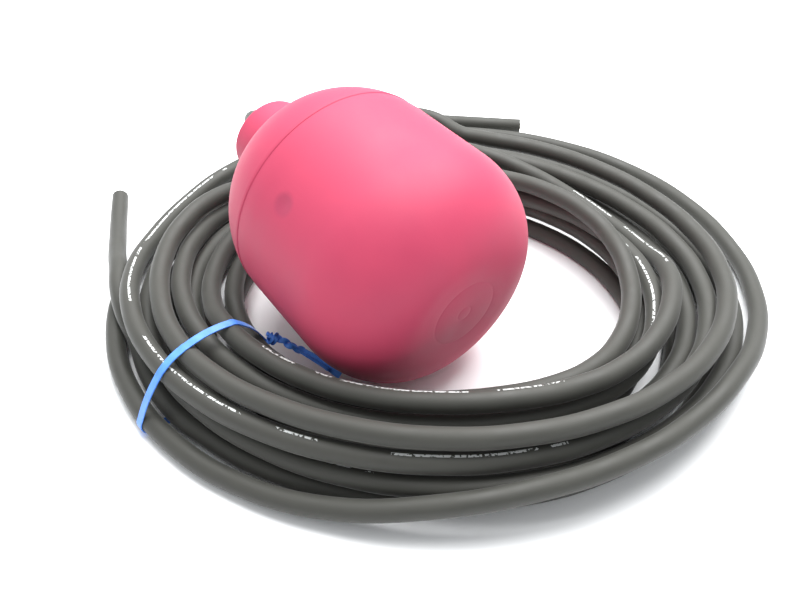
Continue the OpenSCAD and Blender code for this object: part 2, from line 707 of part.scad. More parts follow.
module closed_terminal() {
    face = tip_height(arm_travel/2) - arm_t/2 - contact_t - 0.12;
    color(brass) on_float_axis() union() {
        blade(closed_y);
        block([-terminal_r, closed_y - terminal_t/2, face - contact_t - terminal_t],
              [terminal_r, closed_y + terminal_t/2, cavity_top]);
        block([-terminal_r, closed_y - terminal_t/2, face - contact_t - terminal_t],
              [terminal_r, arm_tip_y + 1.4, face - contact_t]);
        translate([0, arm_tip_y, face - contact_t - 0.1])
            cylinder(r = contact_r, h = contact_t + 0.1, $fn = 32);
    }
}

module switch_bracket() {
    back = -case_x1 - 0.05;
    top = chamber_top - spigot_l - 0.05;
    color(steel) on_float_axis() difference() {
        union() {
            block([back - bracket_t, case_screw_y[0] - 3, case_at + 6],
                  [back, case_screw_y[1] + 3, top]);
            block([back - bracket_t - 4, case_screw_y[0] - 3, top - bracket_t],
                  [back + 2, case_screw_y[1] + 3, top]);
        }
        for (y = case_screw_y)
            cross_rod(case_screw_r + run_gap, back - bracket_t - 1, back + 1, y, case_screw_z);
        block([back - 1, case_screw_y[0] + 4, case_top + 3],
              [back + 3, case_screw_y[1] - 3, top - 4]);
    }
}

module switch_screws() {
    color(steel) on_float_axis() for (y = case_screw_y) {
        cross_rod(case_screw_r, -case_x1 - bracket_t - 1.2, case_x1 + 0.1, y, case_screw_z);
        cross_rod(case_screw_r + 1, case_x1 + 0.02, case_x1 + 1.6, y, case_screw_z);
    }
}

// ---- cable ----
module cable_lead() {
    start = coil_path[len(coil_path) - 1];
    route = concat([start], lead_route, [axis_point(entry_top)]);
    color(cable_grey) tube(route, with_ends(directions(route), coil_out, -axis_dir), cable_r, 8);
}

module cable_coil() {
    dirs = with_ends(directions(coil_path), coil_in, coil_out);
    color(cable_grey) tube(coil_path, dirs, cable_r, 6);
}

module cable_tail() {
    route = concat(tail_route, [coil_path[0]]);
    tip_dir = unit(tail_route[1] - tail_route[0]);
    color(cable_grey) tube(route, with_ends(directions(route), tip_dir, coil_in), cable_r, 8);
}

// A true cylinder from a to b
module rod(a, b, r) {
    d = b - a;
    translate(a) rotate([0, acos(d[2]/norm(d)), atan2(d[1], d[0])]) cylinder(r = r, h = norm(d));
}

module tail_end() {
    color(cut_grey) rod(tail_tip, tail_route[0], cable_r);
}

module spare_cable() {
    color(cut_grey) rod(spare_ends[0], spare_ends[1], cable_r);
}

// ---- tie ----
// Points where a path crosses the plane of the tie on the near side
function tie_crossings(path) = [for (i = [0:len(path) - 2]) let (a = path[i], b = path[i + 1])
    if ((a[0] - tie_x)*(b[0] - tie_x) <= 0 && a[1] < 0)
        let (t = (tie_x - a[0])/(b[0] - a[0]), p = a + t*(b - a)) [p[1], p[2]]];

module bundle(margin) {
    strands = concat(tie_crossings(coil_path),
                     tie_crossings(concat(tail_route, [coil_path[0]])));
    hull() for (p = strands) translate(p) circle(r = cable_r + margin, $fn = 24);
}

module tie_band() {
    inner = 0.4;
    color(tie_blue) translate([tie_x - tie_w/2, 0, 0]) rotate([90, 0, 90])
        linear_extrude(tie_w) difference() {
            bundle(inner + tie_t);
            bundle(inner);
        }
}

module tie_twist() {
    color(tie_blue) tube(twist_route, directions(twist_route), 1, 8);
}

float_body();
float_cap();
neck_grommet();
potting_plug();
cable_crimp();
cable_entry();
wire_black();
wire_white();
solder_joints();
capsule_body();
capsule_cap();
capsule_seal();
capsule_screws();
ball();
lever();
lever_pin();
switch_case();
switch_cover();
plunger();
contact_arm();
common_terminal();
open_terminal();
closed_terminal();
switch_bracket();
switch_screws();
cable_lead();
cable_coil();
cable_tail();
tail_end();
spare_cable();
tie_band();
tie_twist();
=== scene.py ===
"""Dresses the float switch: a moulded float on a tied coil of round cable, on a pale studio floor."""

import logging
import math
from dataclasses import dataclass, field, replace
from enum import Enum
from functools import cache
from typing import Iterable, Optional, Union

import bmesh
import bpy
from mathutils import Matrix, Vector
from mathutils.geometry import interpolate_bezier

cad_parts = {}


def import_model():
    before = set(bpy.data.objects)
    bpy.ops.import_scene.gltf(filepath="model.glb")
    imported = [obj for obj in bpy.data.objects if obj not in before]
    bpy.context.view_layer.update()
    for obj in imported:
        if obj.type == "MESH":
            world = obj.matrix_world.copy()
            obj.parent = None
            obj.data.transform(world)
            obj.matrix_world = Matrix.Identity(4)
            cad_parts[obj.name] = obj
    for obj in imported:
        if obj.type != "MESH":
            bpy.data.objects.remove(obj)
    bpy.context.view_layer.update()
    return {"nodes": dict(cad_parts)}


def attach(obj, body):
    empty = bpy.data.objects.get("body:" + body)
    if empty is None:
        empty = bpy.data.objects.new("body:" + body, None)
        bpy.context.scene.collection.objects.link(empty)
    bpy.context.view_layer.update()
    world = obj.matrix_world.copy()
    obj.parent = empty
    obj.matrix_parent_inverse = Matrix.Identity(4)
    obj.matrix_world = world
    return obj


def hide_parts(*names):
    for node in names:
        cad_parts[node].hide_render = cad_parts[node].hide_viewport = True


LOG = logging.getLogger("float_switch")
MM = 0.001  # metres in a millimetre


# ---------------------------------------------------------------- colours and node trees
def linear(hex_colour: str) -> tuple[float, float, float, float]:
    """Turns an sRGB hex value into linear RGBA.

    Args:
        hex_colour: six hex digits, with or without a leading #.

    Returns:
        The colour in linear light, with an alpha of 1.
    """
    digits = hex_colour.lstrip("#")
    channels = [int(digits[i : i + 2], 16) / 255 for i in (0, 2, 4)]
    light = [c / 12.92 if c <= 0.04045 else ((c + 0.055) / 1.055) ** 2.4 for c in channels]
    return (light[0], light[1], light[2], 1.0)


def add_node(
    tree: bpy.types.NodeTree,
    kind: str,
    settings: Optional[dict] = None,
    inputs: Optional[dict] = None,
    links: Optional[dict] = None,
) -> bpy.types.Node:
    """Adds one shader node with its settings and links.

    Args:
        tree: the material's node tree.
        kind: the node's type, without its ShaderNode prefix.
        settings: properties of the node.
        inputs: constants for its input sockets, by name or index.
        links: output sockets to link into its input sockets, by name or index.

    Returns:
        The new node.
    """
    node = tree.nodes.new("ShaderNode" + kind)
    for name, value in (settings or {}).items():
        setattr(node, name, value)
    for name, value in (inputs or {}).items():
        node.inputs[name].default_value = value
    for name, socket in (links or {}).items():
        tree.links.new(socket, node.inputs[name])
    return node


class Surface(Enum):
    """How the surface of a piece was made."""

    MOULDED = "moulded"
    EXTRUDED = "extruded"
    BRUSHED = "brushed"
    GROUND = "ground"
    CAST = "cast"


@dataclass(frozen=True)
class PrintedLine:
    """The worn line of small white strokes along a sheath, with nothing in it to read.

    Where it lies and where it is still white are shares of a turn round the sheath and of the
    cable's length, which the piece's UV map gives.
    """

    around: float = 0.3
    sway: float = 0.04
    sway_waves: float = 47.0
    half_width: float = 0.019
    spans: tuple = ((0.117, 0.127), (0.141, 0.157), (0.281, 0.294), (0.383, 0.418), (0.55, 0.562),
                    (0.72, 0.75), (0.9, 0.93))
    stroke_mm: float = 1.2
    stroke_cut: float = 0.45
    wear_mm: float = 26.0
    wear_cut: float = 0.42
    cover: float = 0.75
    ink: str = "#d9dcdb"

    def over(
        self, tree: bpy.types.NodeTree, place: bpy.types.Node, base: bpy.types.NodeSocket
    ) -> bpy.types.NodeSocket:
        """Lays the line over a colour.

        Args:
            tree: the material's node tree.
            place: its Texture Coordinate node.
            base: the colour under the line.

        Returns:
            The colour with the line on it.
        """
        split = add_node(tree, "SeparateXYZ", links={"Vector": place.outputs["UV"]})
        along, around = split.outputs["X"], split.outputs["Y"]
        waves = add_node(tree, "Math", {"operation": "MULTIPLY"}, {1: self.sway_waves}, {0: along})
        sway = add_node(tree, "Math", {"operation": "SINE"}, links={0: waves.outputs[0]})
        middle = add_node(tree, "Math", {"operation": "MULTIPLY_ADD"},
                          {1: self.sway, 2: self.around}, {0: sway.outputs[0]})
        band = add_node(tree, "Math", {"operation": "COMPARE"}, {2: self.half_width},
                        {0: around, 1: middle.outputs[0]})
        inside = [add_node(tree, "Math", {"operation": "COMPARE"},
                           {1: (first + last) / 2, 2: (last - first) / 2}, {0: along}).outputs[0]
                  for first, last in self.spans]
        white = inside[0]
        for span in inside[1:]:
            white = add_node(tree, "Math", {"operation": "ADD"}, links={0: white, 1: span}).outputs[0]
        strokes = add_node(tree, "TexNoise", inputs={"Scale": 1 / (self.stroke_mm * MM), "Detail": 1.0},
                           links={"Vector": place.outputs["Object"]})
        inked = add_node(tree, "Math", {"operation": "GREATER_THAN"}, {1: self.stroke_cut},
                         {0: strokes.outputs["Fac"]})
        wear = add_node(tree, "TexNoise", inputs={"Scale": 1 / (self.wear_mm * MM), "Detail": 2.0},
                        links={"Vector": place.outputs["Object"]})
        kept = add_node(tree, "Math", {"operation": "GREATER_THAN"}, {1: self.wear_cut},
                        {0: wear.outputs["Fac"]})
        amount = add_node(tree, "Math", {"operation": "MULTIPLY"}, {1: self.cover},
                          {0: band.outputs[0]}).outputs[0]
        for share in (white, inked.outputs[0], kept.outputs[0]):
            amount = add_node(tree, "Math", {"operation": "MULTIPLY"},
                              links={0: amount, 1: share}).outputs[0]
        mixed = add_node(tree, "MixRGB", inputs={"Color2": linear(self.ink)},
                         links={"Fac": amount, "Color1": base})
        return mixed.outputs[0]


@dataclass(frozen=True)
class DimpleShade:
    """Painted shade: a darker round spot in the colour, over the dimple in the flank."""

    middle: tuple
    radius: float
    full_share: float = 0.6
    depth: float = 0.35
    # colour of the painted shade at the middle of the spot
    shade: str = "#7c2f4c"

    def over(
        self, tree: bpy.types.NodeTree, place: bpy.types.Node, base: bpy.types.NodeSocket
    ) -> bpy.types.NodeSocket:
        """Paints shade softly into a colour inside the spot.

        Args:
            tree: the material's node tree.
            place: its Texture Coordinate node.
            base: the colour round the spot.

        Returns:
            The colour with the spot in it.
        """
        away = add_node(tree, "VectorMath", {"operation": "DISTANCE"}, {1: self.middle},
                        {0: place.outputs["Object"]})
        depth = add_node(tree, "MapRange", inputs={
            "From Min": self.radius * self.full_share, "From Max": self.radius,
            "To Min": self.depth, "To Max": 0.0}, links={"Value": away.outputs["Value"]})
        mixed = add_node(tree, "MixRGB", inputs={"Color2": linear(self.shade)},
                         links={"Fac": depth.outputs[0], "Color1": base})
        return mixed.outputs[0]


@dataclass(frozen=True)
class Finish:
    """A material: what it is made of and how its surface was made.

    The colours are sRGB hex values. The mottle is the slow change of colour over the surface,
    the grain the fine relief of the mould, die or brush. A real grain of a tenth of a millimetre
    would not show, so it is drawn as coarse as it needs to. The bands are the part of the noise
    over which the colour and the roughness change, and a brush draws its pattern out along x.
    """

    name: str
    tone: str
    shade: str
    surface: Surface = Surface.MOULDED
    roughness: float = 0.5
    roughness_spread: float = 0.08
    mottle_mm: float = 18.0
    grain_mm: float = 0.7
    grain_depth_mm: float = 0.02
    metallic: float = 0.0
    ior: float = 1.5
    subsurface: float = 0.0
    sheen: float = 0.0
    # the print on a sheath, or the painted shade over the float's dimple
    print_or_painted_shade: Union[PrintedLine, DimpleShade, None] = None
    mottle_band: tuple = (0.32, 0.68)
    mottle_detail: float = 4.0
    mottle_roughness: float = 0.55
    grain_detail: float = 3.0
    rough_band: tuple = (0.3, 0.7)
    brush_stretch: float = 0.06
    relief: float = 0.6
    sheen_roughness: float = 0.4
    light_reach: tuple = (0.004, 0.001, 0.0015)

    def build(self) -> bpy.types.Material:
        """Builds the material's node tree.

        Returns:
            The finished material.
        """
        material = bpy.data.materials.new(self.name)
        material.use_nodes = True
        material.diffuse_color = linear(self.tone)
        tree = material.node_tree
        tree.nodes.clear()
        place = add_node(tree, "TexCoord")
        stretch = self.brush_stretch if self.surface is Surface.BRUSHED else 1.0
        mapped = add_node(tree, "Mapping", inputs={"Scale": (stretch, 1.0, 1.0)},
                          links={"Vector": place.outputs["Object"]})
        mottle = add_node(tree, "TexNoise", inputs={
            "Scale": 1 / (self.mottle_mm * MM), "Detail": self.mottle_detail,
            "Roughness": self.mottle_roughness}, links={"Vector": mapped.outputs[0]})
        ramp = add_node(tree, "ValToRGB", links={"Fac": mottle.outputs["Fac"]})
        for stop, at, hue in zip(ramp.color_ramp.elements, self.mottle_band, (self.shade, self.tone)):
            stop.position = at
            stop.color = linear(hue)
        colour = ramp.outputs["Color"]
        # lays the print, or paints the dimple's shade
        if self.print_or_painted_shade:
            colour = self.print_or_painted_shade.over(tree, place, colour)
        grain = add_node(tree, "TexNoise", inputs={
            "Scale": 1 / (self.grain_mm * MM), "Detail": self.grain_detail},
            links={"Vector": mapped.outputs[0]})
        low, high = self.rough_band
        rough = add_node(tree, "MapRange", inputs={
            "From Min": low, "From Max": high, "To Min": self.roughness - self.roughness_spread,
            "To Max": self.roughness + self.roughness_spread}, links={"Value": mottle.outputs["Fac"]})
        bump = add_node(tree, "Bump", inputs={
            "Strength": self.relief, "Distance": self.grain_depth_mm * MM},
            links={"Height": grain.outputs["Fac"]})
        shader = add_node(tree, "BsdfPrincipled", inputs={
            "Metallic": self.metallic, "IOR": self.ior, "Subsurface Weight": self.subsurface,
            "Sheen Weight": self.sheen, "Sheen Roughness": self.sheen_roughness},
            links={"Base Color": colour, "Roughness": rough.outputs[0], "Normal": bump.outputs[0]})
        if self.subsurface:
            shader.inputs["Subsurface Radius"].default_value = self.light_reach
            shader.inputs["Subsurface Scale"].default_value = 1.0
        add_node(tree, "OutputMaterial", links={"Surface": shader.outputs[0]})
        return material


# Rotationally moulded polyethylene: waxy, satin, evenly coloured, with a soft broad highlight
FLOAT_PLASTIC = Finish("float_polyethylene", "#b43b58", "#ab3654", roughness=0.62, mottle_mm=30,
                       grain_mm=0.9, grain_depth_mm=0.03, ior=1.4, subsurface=0.03, sheen=0.05)
# Extruded rubber sheath: dull, slightly chalky from handling, so its lit edges go soft and pale
CABLE_RUBBER = Finish("extruded_rubber_sheath", "#373732", "#30302b", Surface.EXTRUDED,
                      roughness=0.65, mottle_mm=14, grain_mm=0.5, grain_depth_mm=0.02, sheen=0.15)
# The same sheath with its print: small white strokes, rubbed away in places
PRINTED_RUBBER = replace(CABLE_RUBBER, name="printed_rubber_sheath", print_or_painted_shade=PrintedLine())
# Twisted paper packed round the cores: matt, fibrous and grey-brown
FILLER = Finish("paper_filler", "#8d8579", "#766f64", Surface.EXTRUDED, roughness=0.8,
                mottle_mm=2, grain_mm=0.3, grain_depth_mm=0.05)
# Extruded polyethylene strip, coloured through: smooth, with a narrow bright light on each fold
TIE_PLASTIC = Finish("tie_polyethylene_strip", "#5a93f0", "#4b83e2", roughness=0.36, mottle_mm=5,
                     grain_mm=0.6, grain_depth_mm=0.03)
# Moulded rubber: black, with one broad dim highlight
GROMMET_RUBBER = Finish("moulded_rubber", "#262627", "#1f1f20", roughness=0.6)
# Resin poured in and set: amber, level and glassy
POTTING_RESIN = Finish("cast_resin", "#a8742c", "#8f6023", Surface.CAST, roughness=0.2, mottle_mm=5)
# Zinc-plated steel, brushed before plating: pale grey metal with faint streaks
CRIMP_STEEL = Finish("zinc_plated_steel", "#9a9ca0", "#85878b", Surface.BRUSHED, roughness=0.35,
                     metallic=1.0, mottle_mm=4)
# Extruded core insulation: smoother and a little shinier than the sheath
CORE_BLACK = Finish("core_insulation_black", "#1d1d1f", "#161618", Surface.EXTRUDED, roughness=0.4)
CORE_WHITE = Finish("core_insulation_white", "#ecece8", "#dededa", Surface.EXTRUDED, roughness=0.4)
# Drawn copper: a warm bright metal, streaked by the die
COPPER = Finish("drawn_copper_strand", "#c9784a", "#b5683c", Surface.BRUSHED, roughness=0.3,
                metallic=1.0, mottle_mm=1.0, grain_mm=0.2)
# Solder as it set: bright grey, with a soft wavy shine
SOLDER = Finish("solidified_solder", "#b4b6b9", "#a2a4a7", Surface.CAST, roughness=0.3, metallic=1.0,
                mottle_mm=2)
# Moulded nylon: cream, half matt, as it came from the mould
CAPSULE_PLASTIC = Finish("moulded_nylon", "#e5e0cf", "#d9d3c0", roughness=0.45)
# Moulded nitrile rubber: the deepest black, with a satin line of light round the ring
SEAL_RUBBER = Finish("nitrile_rubber", "#1a1a1a", "#141414", roughness=0.5)
# Plated screw steel: the brightest of the brushed metals
SCREW_STEEL = Finish("plated_screw_steel", "#b9bbbf", "#a6a8ac", Surface.BRUSHED, roughness=0.28,
                     metallic=1.0, mottle_mm=3)
# Ground and polished ball steel: almost a mirror
BALL_STEEL = Finish("ground_ball_steel", "#c9ccd0", "#bfc2c6", Surface.GROUND, roughness=0.08,
                    roughness_spread=0.03, metallic=1.0, mottle_mm=6)
# Rolled steel sheet: darker and duller, streaked by the roll
LEVER_STEEL = Finish("rolled_steel_sheet", "#8e9094", "#7c7e82", Surface.BRUSHED, roughness=0.38,
                     metallic=1.0, mottle_mm=4)
# Moulded phenolic: hard, near black, with a faint shine
CASE_PLASTIC = Finish("moulded_phenolic", "#222327", "#1b1c20", roughness=0.42, mottle_mm=8)
# The same plastic in brick red, which tells the cover from the case
COVER_PLASTIC = Finish("moulded_phenolic_red", "#8c2c28", "#7d2521", roughness=0.42, mottle_mm=8)
# Moulded acetal: white and slippery, with a small tight highlight
PLUNGER_PLASTIC = Finish("moulded_acetal", "#f0f0ee", "#e4e4e1", roughness=0.3, mottle_mm=3)
# Stamped brass: a yellow metal that catches the light on its cut edges
CONTACT_BRASS = Finish("stamped_brass", "#c8a24c", "#b8913d", Surface.BRUSHED, roughness=0.3,
                       metallic=1.0, mottle_mm=4)

NODE_FINISHES: dict[str, Finish] = {
    "neck_grommet": GROMMET_RUBBER, "potting_plug": POTTING_RESIN, "cable_crimp": CRIMP_STEEL,
    "cable_entry": CABLE_RUBBER, "wire_black": CORE_BLACK, "wire_white": CORE_WHITE,
    "solder_joints": SOLDER, "capsule_body": CAPSULE_PLASTIC, "capsule_cap": CAPSULE_PLASTIC,
    "capsule_seal": SEAL_RUBBER, "capsule_screws": SCREW_STEEL, "ball": BALL_STEEL,
    "lever": LEVER_STEEL, "lever_pin": SCREW_STEEL, "switch_case": CASE_PLASTIC,
    "switch_cover": COVER_PLASTIC, "plunger": PLUNGER_PLASTIC, "contact_arm": CONTACT_BRASS,
    "common_terminal": CONTACT_BRASS, "open_terminal": CONTACT_BRASS,
    "closed_terminal": CONTACT_BRASS, "switch_bracket": LEVER_STEEL, "switch_screws": SCREW_STEEL,
}


@cache
def material_of(finish: Finish) -> bpy.types.Material:
    """Gives the material of a finish, built at its first use."""
    return finish.build()


def dress(piece: bpy.types.Object, *finishes: Finish) -> None:
    """Gives a piece its finishes, one material slot each.

    Args:
        piece: the object to dress.
        *finishes: its finishes, in the order of its material indices.
    """
    piece.data.materials.clear()
    for finish in finishes:
        piece.data.materials.append(material_of(finish))


def fit(piece: bpy.types.Object, slot: str, nodes: tuple, *finishes: Finish) -> None:
    """Dresses a new piece of the switch and puts it in place of its solids.

    Args:
        piece: the new object.
        slot: the record's material slot. It is not used.
        nodes: the solids that it stands for, if any.
        *finishes: its finishes, in the order of its material indices.
    """
    dress(piece, *finishes)
    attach(piece, "switch")
    if nodes:
        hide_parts(*nodes)


# ---------------------------------------------------------------- mesh helpers
def new_piece(name: str, mesh: bmesh.types.BMesh, smooth_degrees: float = 40) -> bpy.types.Object:
    """Turns a bmesh into a linked object and frees it.

    Args:
        name: the object's name.
        mesh: the bmesh, in the row frame, in metres.
        smooth_degrees: edges sharper than this angle stay sharp.

    Returns:
        The object, at the origin.
    """
    for face in mesh.faces:
        face.smooth = True
    limit = math.radians(smooth_degrees)
    for edge in mesh.edges:
        if len(edge.link_faces) == 2 and edge.calc_face_angle(0.0) > limit:
            edge.smooth = False
    data = bpy.data.meshes.new(name)
    mesh.to_mesh(data)
    mesh.free()
    piece = bpy.data.objects.new(name, data)
    bpy.context.scene.collection.objects.link(piece)
    return piece


def spun(profile: list[tuple[float, float]], steps: int) -> bmesh.types.BMesh:
    """Spins a profile of (radius, height) points round z into a closed skin.

    Args:
        profile: the points, either from the axis to the axis or round a closed section.
        steps: the number of steps of the full turn.

    Returns:
        The skin, with its normals outwards.
    """
    mesh = bmesh.new()
    points = [mesh.verts.new((r, 0.0, z)) for r, z in profile]
    edges = [mesh.edges.new(pair) for pair in zip(points, points[1:])]
    if profile[0][0] > 0:
        edges.append(mesh.edges.new((points[-1], points[0])))
    bmesh.ops.spin(mesh, geom=points + edges, axis=(0, 0, 1), cent=(0, 0, 0),
                   angle=math.tau, steps=steps, use_merge=True)
    bmesh.ops.remove_doubles(mesh, verts=mesh.verts, dist=1e-5)
    bmesh.ops.recalc_face_normals(mesh, faces=mesh.faces)
    return mesh


# ---------------------------------------------------------------- float
@dataclass
class FloatShell:
    """The hollow moulded float, measured in millimetres along its own axis.

    Heights count from the blunt face to the neck. The lip's points are how far the edge of the
    cap lies inside its own outline, and how far above the seam.
    """

    face_r: float = 23.0
    float_r: float = 54.5
    rim_l: float = 36.0
    flank_l: float = 38.0
    flank_draft: float = 1.3
    shoulder_l: float = 47.0
    shoulder_r: float = 38.0
    wall: float = 3.0
    seam_in: float = 10.5
    lap_l: float = 5.0
    cap_step: float = 0.34
    neck_r: float = 19.0
    neck_l: float = 20.0
    neck_bore_r: float = 13.0
    neck_round: float = 1.2
    lean: float = 8.0
    seat_gap: float = 0.1
    cap_lip: tuple = ((0.3, 0.0), (0.12, 0.2), (0.04, 0.5))
    face_rings: tuple = (3.4, 15.6)
    face_stops: tuple = (9.0, 20.0)
    ring_half: float = 0.9
    ring_depth: float = 0.1
    dimple_at: float = 63.6
    dimple_turn: float = -54.0
    dimple_r: float = 6.0
    dimple_depth: float = 0.45
    dimple_cuts: int = 3
    ring_steps: int = 3
    flank_steps: int = 15
    curve_steps: int = 26
    under_seam_steps: int = 8
    lap_steps: int = 4
    inner_rim_steps: int = 16
    inner_shoulder_steps: int = 10
    steps: int = 144
    axis_x: float = field(init=False)
    axis_z: float = field(init=False)

    def __post_init__(self) -> None:
        """Works out where the float's axis lies when its lowest point touches the floor."""
        lean = math.radians(self.lean)
        reach = self.float_r - self.face_r
        low = math.atan(reach / self.rim_l / math.tan(lean))
        self.axis_z = (self.face_r + reach * math.sin(low)) * math.cos(lean) - self.rim_l * (
            1 - math.cos(low)) * math.sin(lean)
        front = math.atan(reach / self.rim_l * math.tan(lean))
        front_reach = (self.face_r + reach * math.sin(front)) * math.sin(lean) - self.rim_l * (
            1 - math.cos(front)) * math.cos(lean)
        self.axis_x = (self.length * math.cos(lean) + self.neck_r * math.sin(lean) - front_reach) / 2

    @property
    def shoulder_at(self) -> float:
        """Height where the rounded shoulder starts."""
        return self.rim_l + self.flank_l

    @property
    def shoulder_axis_r(self) -> float:
        """Radius of the centre of the shoulder's rounding."""
        return self.float_r - self.flank_draft - self.shoulder_r

    @property
    def seam_at(self) -> float:
        """Height of the seam between the two shells."""
        return self.shoulder_at + self.seam_in

    @property
    def length(self) -> float:
        """Length from the blunt face to the end of the neck."""
        return self.shoulder_at + self.shoulder_l + self.neck_l

    def on_axis(self) -> Matrix:
        """Gives the matrix from the float's own millimetres to the row frame in metres."""
        return (Matrix.Scale(MM, 4) @ Matrix.Translation((self.axis_x, 0, self.axis_z))
                @ Matrix.Rotation(math.radians(self.lean - 90), 4, "Y"))

    def axis_point(self, height: float) -> Vector:
        """Gives the point of the axis at a height, in millimetres in the row frame."""
        lean = math.radians(self.lean)
        return Vector((self.axis_x - height * math.cos(lean), 0, self.axis_z + height * math.sin(lean)))

    def rim(self, inset: float, steps: int) -> list[tuple[float, float]]:
        """Gives the rounded rim from the blunt face to the flank.

        Args:
            inset: how far it is moved inwards.
            steps: number of steps.

        Returns:
            The points of the curve.
        """
        return [(self.face_r + (self.float_r - self.face_r - inset) * math.sin(t),
                 self.rim_l - (self.rim_l - inset) * math.cos(t))
                for t in (math.pi / 2 * i / steps for i in range(steps + 1))]

    def shoulder_radius(self, z: float, inset: float) -> float:
        """Gives the shoulder's radius at the height z, moved inwards by the inset."""
        h = (z - self.shoulder_at) / (self.shoulder_l - inset)
        return self.shoulder_axis_r + (self.shoulder_r - inset) * math.sqrt(max(0.0, 1 - h * h))

    def shoulder(self, z: float, r: float, inset_low: float, inset_high: float,
                 steps: int) -> list[tuple[float, float]]:
        """Gives the shoulder from the height z to the radius r.

        Args:
            z: height where the curve starts.
            r: radius where it ends.
            inset_low: how far it is moved inwards at its start.
            inset_high: how far it is moved inwards at its end.
            steps: number of steps.

        Returns:
            The points of the curve.
        """
        start = math.asin((z - self.shoulder_at) / (self.shoulder_l - inset_low))
        end = math.acos(max(0.0, r - self.shoulder_axis_r) / (self.shoulder_r - inset_high))
        curve = []
        for i in range(steps + 1):
            k = i / steps
            t, inset = start + (end - start) * k, inset_low + (inset_high - inset_low) * k
            curve.append((self.shoulder_axis_r + (self.shoulder_r - inset) * math.cos(t),
                          self.shoulder_at + (self.shoulder_l - inset) * math.sin(t)))
        return curve

    def groove(self, radius: float) -> list[tuple[float, float]]:
        """Gives the soft engraved ring of the mould at a radius of the blunt face."""
        shares = [i / self.ring_steps for i in range(-self.ring_steps, self.ring_steps + 1)]
        return [(radius + self.ring_half * k, self.ring_depth * (1 - abs(k))) for k in shares]

    def dimple(self) -> Vector:
        """Gives the middle of the dimple that the mould's vent left on the flank, and of the painted
        shade over it, in the float's own millimetres.
        """
        turn, radius = math.radians(self.dimple_turn), self.float_r - self.flank_draft / 2
        return Vector((radius * math.cos(turn), radius * math.sin(turn), self.dimple_at))

    def press_dimple(self, mesh: bmesh.types.BMesh) -> None:
        """Presses the shallow round dent of the mould's vent into the flank.

        Args:
            mesh: the shell, still round its own axis.
        """
        middle = self.dimple()
        outward = middle.xy.normalized().to_3d()
        near = {v for v in mesh.verts if (v.co - middle).length < 2 * self.dimple_r
                and v.co.xy.length > self.float_r - self.wall}
        edges = [e for e in mesh.edges if near.issuperset(e.verts)]
        bmesh.ops.subdivide_edges(mesh, edges=edges, cuts=self.dimple_cuts, use_grid_fill=True)
        for vert in mesh.verts:
            gap = (vert.co - middle).length / self.dimple_r
            if gap < 1 and vert.co.xy.length > self.float_r - self.wall:
                vert.co -= outward * self.dimple_depth * math.cos(math.pi / 2 * gap) ** 2

    def body(self) -> bpy.types.Object:
        """Models the shell with the blunt face, up to the lap at the seam.

        Returns:
            The shell, not yet dressed.
        """
        lap_in = self.wall / 2 + self.seat_gap / 2
        lap_top = self.seam_at + self.lap_l
        face = [(0.0, 0.0)]
        for ring, stop in zip(self.face_rings, self.face_stops):
            face += self.groove(ring) + [(stop, 0.0)]
        shares = [i / self.flank_steps for i in range(1, self.flank_steps)]
        flank = [(self.float_r - self.flank_draft * k, self.rim_l + self.flank_l * k) for k in shares]
        profile = (
            face + self.rim(0, self.curve_steps) + flank
            + self.shoulder(self.shoulder_at, self.shoulder_radius(self.seam_at, 0), 0, 0,
                            self.under_seam_steps)
            + self.shoulder(self.seam_at, self.shoulder_radius(lap_top, lap_in), lap_in, lap_in,
                            self.lap_steps)
            + self.shoulder(self.shoulder_at, self.shoulder_radius(lap_top, self.wall), self.wall,
                            self.wall, self.inner_shoulder_steps)[::-1]
            + self.rim(self.wall, self.inner_rim_steps)[::-1] + [(0.0, self.wall)])
        mesh = spun(profile, self.steps)
        self.press_dimple(mesh)
        bmesh.ops.transform(mesh, matrix=self.on_axis(), verts=mesh.verts)
        return new_piece("float_body_shell", mesh)

    def cap(self) -> bpy.types.Object:
        """Models the shell from the seam to the end of the neck.

        Returns:
            The shell, not yet dressed.
        """
        edge = self.seam_at + self.seat_gap / 3
        inner_edge = self.seam_at + self.lap_l + self.seat_gap
        lap_out = self.wall / 2 - self.seat_gap / 2
        top, corner = self.length, self.neck_round
        outer = self.shoulder(edge, self.neck_r, -self.cap_step, 0, self.curve_steps)
        lip_r = outer[0][0]
        profile = (
            [(lip_r - inset, edge + rise) for inset, rise in self.cap_lip]
            + outer[1:]
            + [(self.neck_r, top - corner), (self.neck_r - corner / 3, top - corner / 3),
               (self.neck_r - corner, top), (self.neck_bore_r, top)]
            + self.shoulder(inner_edge, self.neck_bore_r, self.wall, self.wall,
                            self.curve_steps)[::-1]
            + self.shoulder(edge, self.shoulder_radius(inner_edge, lap_out), lap_out, lap_out,
                            self.lap_steps)[::-1])
        mesh = spun(profile, self.steps)
        bmesh.ops.transform(mesh, matrix=self.on_axis(), verts=mesh.verts)
        return new_piece("float_cap_shell", mesh)

    def build(self) -> list[bpy.types.Object]:
        """Models both shells, dresses them and puts them in place of their solids.

        Returns:
            The body's shell and the cap's.
        """
        body, cap = self.body(), self.cap()
        # the body's plastic gets painted shade over the dimple; the cap's stays plain
        vent = DimpleShade(tuple(self.on_axis() @ self.dimple()), self.dimple_r * MM)
        dimple_shaded_plastic = replace(FLOAT_PLASTIC, name="float_polyethylene_dimple_shaded", print_or_painted_shade=vent)
        fit(body, "float_plastic", ("float_body",), dimple_shaded_plastic)
        fit(cap, "float_plastic", ("float_cap",), FLOAT_PLASTIC)
        return [body, cap]


